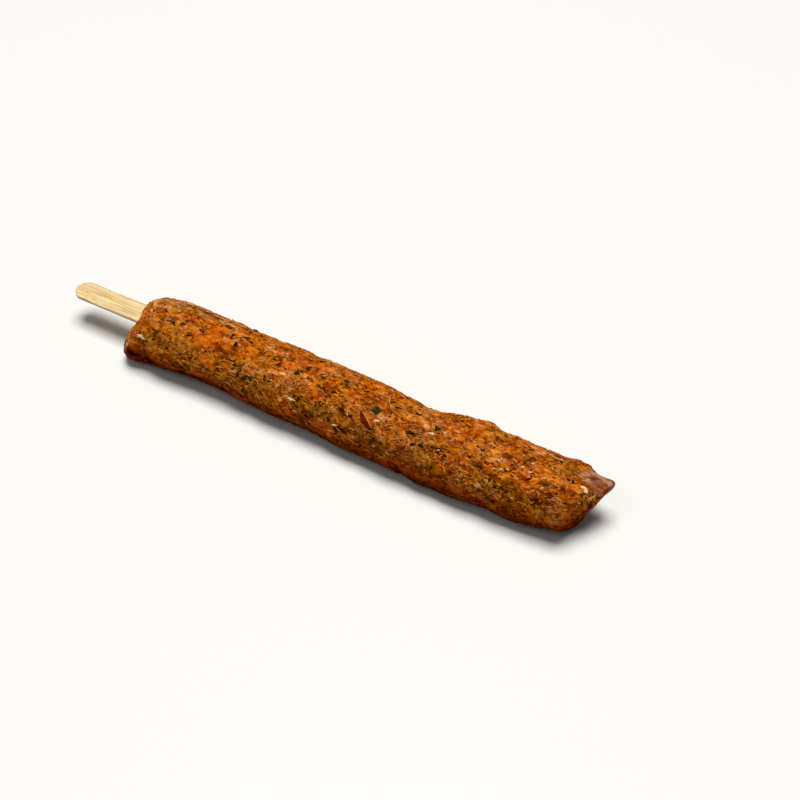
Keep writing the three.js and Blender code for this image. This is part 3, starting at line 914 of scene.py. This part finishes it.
# Chilli. Slivers of dried chilli and sweet pepper, soaked soft in the marinade, dark red and
# half clear. They are laid in the mince, the largest with a paler rim beside it.
CHILLI_PLACED = [  # distance over the skin, angle, length, width, heading, tint
    (124.5, 139, 9, 2, 0.58, 0), (125.2, 134.8, 8, 0.6, 0.58, 2), (117.2, 165, 4.5, 1.1, 0.3, 1),
    (185.7, 74, 2.6, 1.9, 0.3, 3), (215.6, 124, 3.6, 0.9, 0.9, 1), (217.4, 50, 3.6, 2.4, 1.2, 4),
    (16.5, 190, 4, 1.4, 0.6, 1),
]
CHILLI_SEED, CHILLI_COUNT, CHILLI_SIZE, CHILLI_SLIM = 49, 60, (0.8, 2.2), 0.5
CHILLI_TURN, CHILLI_BEND, CHILLI_THICKEST, CHILLI_RINGS, CHILLI_SIDES = 0.5, 0.2, 0.9, 7, 8
CHILLI_DARKS = 2  # the first tints, for the strewn slivers
CHILLI_TINTS = paints((84, 22, 2), (58, 10, 2), (224, 122, 40), (150, 52, 26), (138, 52, 18))


def chilli():
    rng = np.random.default_rng(CHILLI_SEED)
    where, angle = scattered(CHILLI_COUNT, rng)
    more = len(where)
    size = rng.uniform(*CHILLI_SIZE, more)
    where, angle, length, width, heading, picked = with_placed(
        CHILLI_PLACED, where, angle, size, size * CHILLI_SLIM,
        rng.normal(0, CHILLI_TURN, more), rng.integers(0, CHILLI_DARKS, more),
    )
    points = laid(
        where, angle, heading, rng.normal(0, CHILLI_BEND, len(where)), length, width,
        np.minimum(width, CHILLI_THICKEST) * 0.5, 0.1 + width * 0.08, CHILLI_RINGS, CHILLI_SIDES,
    )
    clear = clear_of_stick_and_table(points)
    tint = CHILLI_TINTS[picked[clear].astype(int)]
    return points[clear], tube_faces(CHILLI_RINGS, CHILLI_SIDES), tint


make_piece("chilli_slivers", mince_finish("soft_chilli", 0.2, 0.3), *chilli())


# Flap. A soft fold of fat and sinew that the mincer left whole, pink-grey and half clear. It
# hangs out of the far end, and the mince holds it round its rim.
FLAP_MIDDLE = (213.4, 56)  # distance over the skin, angle
FLAP_RIM = [
    (207.7, 79.5), (207.7, 66.5), (209.0, 54), (211.2, 46), (213.2, 41), (214.9, 32), (216.2, 23),
    (217.6, 22), (218.5, 24), (218.3, 72), (215.6, 83), (212.7, 82.5), (210.0, 82),
]
FLAP_TOP, FLAP_UNDER, FLAP_SIDES = 26, 4, 72
FLAP_HEIGHT, FLAP_DEPTH, FLAP_EDGE = (0.1, 0.5), 0.6, 0.14
FLAP_ACROSS, FLAP_ALONG = (0.157, 0.03), (0.091, -0.024)  # the fold's own directions, in mm
FLAP_GRAIN = (0.0, -0.5, 0.9)  # how the fibres turn from the skewer's length
FLAP_TINT, FLAP_SOIL = paint(134, 80, 50), paint(158, 88, 26)
FLAP_STREAKS = [  # tint, then from a distance over the skin and an angle to another, and reach
    (paint(212, 152, 98), [(208.6, 70, 209.4, 64, 1.2)]),
    (paint(172, 132, 102), [(209.8, 56, 211, 54.5, 1.0)]),
    (paint(92, 42, 14), [(212.0, 66, 213.4, 58, 0.8)]),
    (paint(204, 142, 94), [(212.2, 50, 215.9, 45, 1.0)]),
    (paint(124, 72, 40), [(213.5, 67, 215.2, 62, 0.7)]),
    (paint(190, 134, 84), [(210.5, 75, 212.4, 79, 0.6)]),
    (paint(180, 122, 78), [(212.4, 79, 214.2, 74, 0.7)]),
    (paint(190, 84, 22), [(215.9, 62.5, 217.4, 47, 1.2)]),
    (paint(78, 24, 8), [(216.9, 36, 217.9, 24.5, 1.2)]),
    (paint(84, 32, 10), [(216.6, 78, 218.4, 30, 0.6)]),
    (paint(228, 184, 132), [(215.2, 25, 0.6)]),
]


def flap():
    """A low dome over the skin within the flap's rim, closed by an underside sunk in the mince."""
    rim = np.array(FLAP_RIM + FLAP_RIM[:1])
    turns = np.linspace(0, 1, FLAP_SIDES, endpoint=False)
    rim = np.stack([np.interp(turns, np.linspace(0, 1, len(rim)), column) for column in rim.T], 1)
    for _ in range(3):
        rim = (np.roll(rim, 1, 0) + np.roll(rim, -1, 0) + 2 * rim) / 4
    grow = np.sin(np.linspace(0, math.pi / 2, FLAP_TOP + 1))
    share = np.concatenate([grow, np.linspace(1, 0, FLAP_UNDER + 2)[1:]])[:, None]
    off = share[..., None] * (rim - FLAP_MIDDLE)
    points, out = skin(FLAP_MIDDLE[0] + off[..., 0], np.radians(FLAP_MIDDLE[1] + off[..., 1]))
    across, along = off @ FLAP_ACROSS, off @ FLAP_ALONG
    wrinkle = 0.1 * np.sin(9 * across + 2 * np.sin(2.5 * along))
    wrinkle = wrinkle + 0.05 * np.sin(19 * across + 3 * along)
    swell = np.interp(along, (-0.7, 0.3), FLAP_HEIGHT)
    height = swell * (1 - share**2) ** 0.5 - FLAP_EDGE + wrinkle * (1 - share**6)
    height[FLAP_TOP + 1:] = -FLAP_DEPTH
    points = points + out * height[..., None]
    tint = np.tile(FLAP_TINT, (off.shape[0] * off.shape[1], 1))
    tint = streaked(points.reshape(-1, 3), tint, FLAP_STREAKS).reshape(*off.shape[:2], 4)
    # Painted light and shade: the wrinkles are lighter on their ridges and darker in their troughs.
    tint = lightened(tint, wrinkle * 0.5)
    soft = np.clip((share - 0.62 + 0.12 * np.sin(23 * turns)) / 0.3, 0, 1)
    soft = (soft * np.interp(along, (0, 0.4), (0.85, 0)))[..., None]
    tint = tint * (1 - soft) + np.array(FLAP_SOIL) * soft
    return as_tube(points), tube_faces(len(share) - 2, FLAP_SIDES), as_tube(tint)


clear_fat, start, shader = finish_of(
    "clear_fat",
    Subsurface_Weight=0.15,
    Subsurface_Scale=0.001,
    Specular_IOR_Level=0.08,
    Coat_Weight=0.15,
    Coat_Roughness=0.15,
)
veins = start.place().stretched((0.4, 1.0, 1.0), turned=FLAP_GRAIN).noise(620.0, 3.0, 1.0)
colour = start.own_tint().mixed(paint(112, 54, 36), (1 - veins.between(0.32, 0.48)) * 0.6)
feed(
    shader,
    Base_Color=colour.mixed(paint(214, 174, 146), veins.between(0.54, 0.7) * 0.5),
    Roughness=veins * 0.3 + 0.3,
    Normal=veins.bump(0.7, 0.0005),
)
make_piece("fat_flap", clear_fat, *flap())


# Bits. Sweet pepper, onion and fat, cut small by hand and mixed into the mince. They stand a
# little out of it as soft chips, soiled with paste.
CHIP_SEED, CHIP_COUNT, CHIP_RINGS, CHIP_SIDES = 51, 110, 5, 10
CHIP_STEPS = (0.7548776662, 0.569840291, 0.6180339887)
CHIP_LENGTH, CHIP_CLEARANCE, CHIP_TURN, CHIP_BEND = (2.8, 5.0), 3.0, 2.4, 0.3
CHIP_SHRINK, CHIP_SLIM, CHIP_THICK, CHIP_PROUD = 0.8, 0.6, 0.63, 0.05
CHIP_TINTS = paints(
    (218, 114, 16), (184, 110, 36), (124, 44, 6), (198, 140, 72), (166, 90, 16), (250, 212, 156),
    (226, 190, 148),
)
CHIP_SHARES = (0.24, 0.26, 0.1, 0.04, 0.36, 0.0, 0.0)
BIT_COUNT, BIT_LENGTH, CHIP_SOILED = 160, (0.6, 1.6), 0.6
BITS_PLACED = [  # distance over the skin, angle, heading, bend, length, width, tint
    (20.4, 152.5, 0.1, 0.3, 4.8, 1.3, 6),
    (212.6, 93.5, 0.15, 0.9, 5.6, 2.6, 5),
    (209.6, 101, 0.4, 0.2, 3.4, 2.4, 0),
]


def chips():
    """The chips of the solid, strewn by the same sequence, with placed and smaller ones between."""
    rng = np.random.default_rng(CHIP_SEED)
    along, around, size = strewn(CHIP_COUNT, *CHIP_STEPS, first=1)
    where, angle = along * WALK_LENGTH, around * 2 * math.pi
    turned = np.arange(1, CHIP_COUNT + 1) * CHIP_TURN
    kept = (skin(where, angle)[0][:, 2] > CHIP_CLEARANCE) & (size <= walk(where)[1])
    bit_where, bit_angle = scattered(BIT_COUNT, rng)
    more = len(bit_where)
    where = np.concatenate([where[kept], bit_where])
    angle = np.concatenate([angle[kept], bit_angle])
    length = spread(CHIP_LENGTH, size)[kept] * CHIP_SHRINK
    length = np.concatenate([length, rng.uniform(*BIT_LENGTH, more)])
    turned = np.concatenate([turned[kept], rng.uniform(0, math.pi, more)])
    where, angle, turned, bend, length, width = with_placed(
        BITS_PLACED, where, angle, turned, rng.normal(0, CHIP_BEND, len(where)),
        length, length * CHIP_SLIM,
    )
    own = len(BITS_PLACED)
    picked = rng.choice(len(CHIP_TINTS), len(where), p=CHIP_SHARES)
    picked[:own] = [row[-1] for row in BITS_PLACED]
    points = laid(
        where, angle, turned, bend, length, width, width * CHIP_THICK, width * CHIP_PROUD,
        CHIP_RINGS, CHIP_SIDES,
    )
    clear = clear_of_stick_and_table(points)
    points, tint = points[clear], CHIP_TINTS[picked[clear]]
    tint[own:] = patchy(points[own:].mean(1), tint[own:], CHIP_SOILED)
    return points, tube_faces(CHIP_RINGS, CHIP_SIDES), tint


make_piece("pepper_onion_and_fat", mince_finish("glazed_bits", 0.8, 0.5), *chips())


# Threads. Fine shreds of grated onion and of sinew, some of them long and curled. They cling to
# the wet meat as the hand smooths it. A few placed ones are painted light: the pale rim at the
# near end's lower corner is sinew with a painted highlight, and the long golden lines along the
# far top edge are a painted rim of light.
THREAD_SEED, THREAD_COUNT, THREAD_RINGS, THREAD_SIDES = 61, 560, 10, 5
THREAD_LENGTH, THREAD_WIDTH, THREAD_THICKEST = (1.2, 4.2), (0.16, 0.28), 0.3
THREAD_TURN, THREAD_BEND, THREAD_PROUD, THREAD_PLACED_PROUD = 0.6, 0.5, (0.0, 0.14), 0.15
THREADS_AND_SHEEN_PLACED = [  # distance over the skin, angle, heading, bend, length, width, tint
    (128, 80, 1.1, -0.25, 11, 0.35, 2), (127, 56, 0.7, 0.5, 6, 0.3, 2), (164, 118, 0.2, 0.6, 6, 0.3, 0),
    (136.5, 133, 0, 0.5, 9, 0.22, 1), (147.5, 131, -0.2, 0.1, 6, 0.24, 2),
    (128, 70, 1.4, 0.1, 10, 0.25, 1), (124, 62, 0.6, 0.2, 9, 0.25, 2),
    (13.6, 187, 1.57, -0.1, 7, 1.2, 3), (15, 165, 1.3, 0.2, 5, 0.4, 2),
    (14.1, 176, 0.4, 0.2, 1.8, 1.1, 4), (85, 48, 0.02, 0.1, 14, 0.5, 1),
    (108, 48, 0.02, 0.1, 14, 0.5, 1), (180, 58, 0.02, 0.1, 16, 0.5, 1),
    (215.5, 104, 0.3, 0.4, 4, 0.3, 2), (217.2, 86, 1.3, 0.8, 3, 0.4, 2),
    (216.5, 92, 1.5, -0.2, 6, 0.35, 2), (217.5, 180, 1.2, 0.3, 5, 0.3, 2),
]
# The last two tints are for the near end's pale rim: sinew with a painted highlight.
THREAD_TINTS = paints(
    (206, 130, 40), (190, 112, 30), (224, 158, 90), (222, 184, 150), (250, 228, 206),
)
THREAD_WARMS = 3  # the first tints, for the strewn shreds


def threads():
    rng = np.random.default_rng(THREAD_SEED)
    where, angle = scattered(THREAD_COUNT, rng)
    more = len(where)
    where, angle, heading, bend, length, width, picked = with_placed(
        THREADS_AND_SHEEN_PLACED, where, angle,
        rng.normal(0, THREAD_TURN, more), rng.normal(0, THREAD_BEND, more),
        rng.uniform(*THREAD_LENGTH, more), rng.uniform(*THREAD_WIDTH, more),
        rng.integers(0, THREAD_WARMS, more),
    )
    proud = np.full(len(where), THREAD_PLACED_PROUD)
    proud[-more:] = rng.uniform(*THREAD_PROUD, more)
    height = np.minimum(width, THREAD_THICKEST)
    points = laid(
        where, angle, heading, bend, length, width, height, proud, THREAD_RINGS, THREAD_SIDES
    )
    clear = clear_of_stick_and_table(points)
    tint = THREAD_TINTS[picked[clear].astype(int)]
    return points[clear], tube_faces(THREAD_RINGS, THREAD_SIDES), tint


make_piece("onion_shreds", mince_finish("glazed_shreds", 0.15, 0.1), *threads())


# Stick. Split bamboo, planed flat, with full round ends, eased edges and fine lengthwise fibres.
# A node of the cane swells it near the tip. The mince grips it for most of its length.
STICK_LENGTH, STICK_WIDTH, STICK_THICKNESS, STICK_EASING = 200.0, 10.0, 1.8, 0.45
STICK_CAP_ROWS, STICK_FINE_ROWS, STICK_COARSE_ROWS, STICK_SIDES = 24, 150, 20, 44
STICK_FINE_PAST = 8.0  # how far into the meat the fine rows run
STICK_SQUARENESS = (0.8, 0.16)  # the section's powers, across and up
STICK_NODE, NODE_REACH, NODE_SWELL = 13.5, 2.2, 0.05


def bamboo():
    """Rounded-oblong sections along the stick, narrowing to the full round ends."""
    radius = STICK_WIDTH / 2
    fine_end = STICK_SHOWN + STICK_FINE_PAST
    cap = radius * (1 - np.cos(np.linspace(0, math.pi / 2, STICK_CAP_ROWS)))
    fine_part = np.linspace(radius, fine_end, STICK_FINE_ROWS)[1:]
    hidden = np.linspace(fine_end, STICK_LENGTH - radius, STICK_COARSE_ROWS)[1:]
    from_tip = np.concatenate([cap, fine_part, hidden, STICK_LENGTH - cap[::-1][1:]])[:, None]
    off = np.minimum(from_tip, STICK_LENGTH - from_tip)
    half_width = np.sqrt(np.maximum(radius**2 - np.maximum(radius - off, 0) ** 2, 0))
    phi = np.linspace(0, 2 * math.pi, STICK_SIDES, endpoint=False)
    across, up = (
        np.sign(wave) * np.abs(wave) ** power
        for wave, power in zip((np.cos(phi), np.sin(phi)), STICK_SQUARENESS)
    )
    fibre = 0.035 * np.sin(across * 31 + 1.3) + 0.02 * np.sin(across * 57)
    thinned = np.minimum(1, half_width / STICK_EASING)
    swell = 1 + NODE_SWELL * np.exp(-(((from_tip - STICK_NODE) / NODE_REACH) ** 2))
    x = np.broadcast_to(from_tip - STICK_SHOWN, (len(from_tip), STICK_SIDES))
    y = half_width * across + STICK_SIDE
    z = STICK_THICKNESS / 2 * up * thinned * swell * (1 + fibre) + MIDDLE_HEIGHT + STICK_RISE
    points = np.stack([x, y, z], -1) + SHIFT
    return as_tube(points), tube_faces(len(from_tip) - 2, STICK_SIDES)


BAMBOO_TINT, FIBRE_TINT = paint(222, 197, 143), paint(188, 147, 86)
# The last tint is painted shade for the stick's lower edge.
CLOUD_TINT, DASH_TINT, UNDER_SHADE_TINT = paint(240, 222, 178), paint(176, 132, 74), paint(150, 104, 56)
UNDER_EDGE = (0.0137, 0.0147)  # heights between which the lower edge darkens, in metres

split_bamboo, start, shader = finish_of("split_bamboo", Specular_IOR_Level=0.3)
place = start.place()
fibres = place.stretched((60.0, 1500.0, 600.0)).noise(1.0, 4.0)
dashes = place.stretched((330.0, 1500.0, 600.0)).noise(1.0, 2.0)
cloud = place.stretched((70.0, 800.0, 400.0)).noise(1.0, 2.0)
colour = start.node("ShaderNodeRGB")
colour.socket.default_value = BAMBOO_TINT
colour = colour.mixed(FIBRE_TINT, fibres.between(0.44, 0.66) * 0.9)
colour = colour.mixed(CLOUD_TINT, cloud.between(0.5, 0.64) * 0.6)
colour = colour.mixed(DASH_TINT, dashes.between(0.62, 0.72) * 0.8)
# Painted shade along the stick's lower edge.
colour = colour.mixed(UNDER_SHADE_TINT, (1 - place.coordinate(2).between(*UNDER_EDGE)) * 0.7)
feed(
    shader,
    Base_Color=colour,
    Roughness=fibres * 0.2 + 0.5,
    Normal=fibres.bump(0.4, 0.0002),
)
make_piece("bamboo_stick", split_bamboo, *bamboo(), slot="bamboo", node="stick")
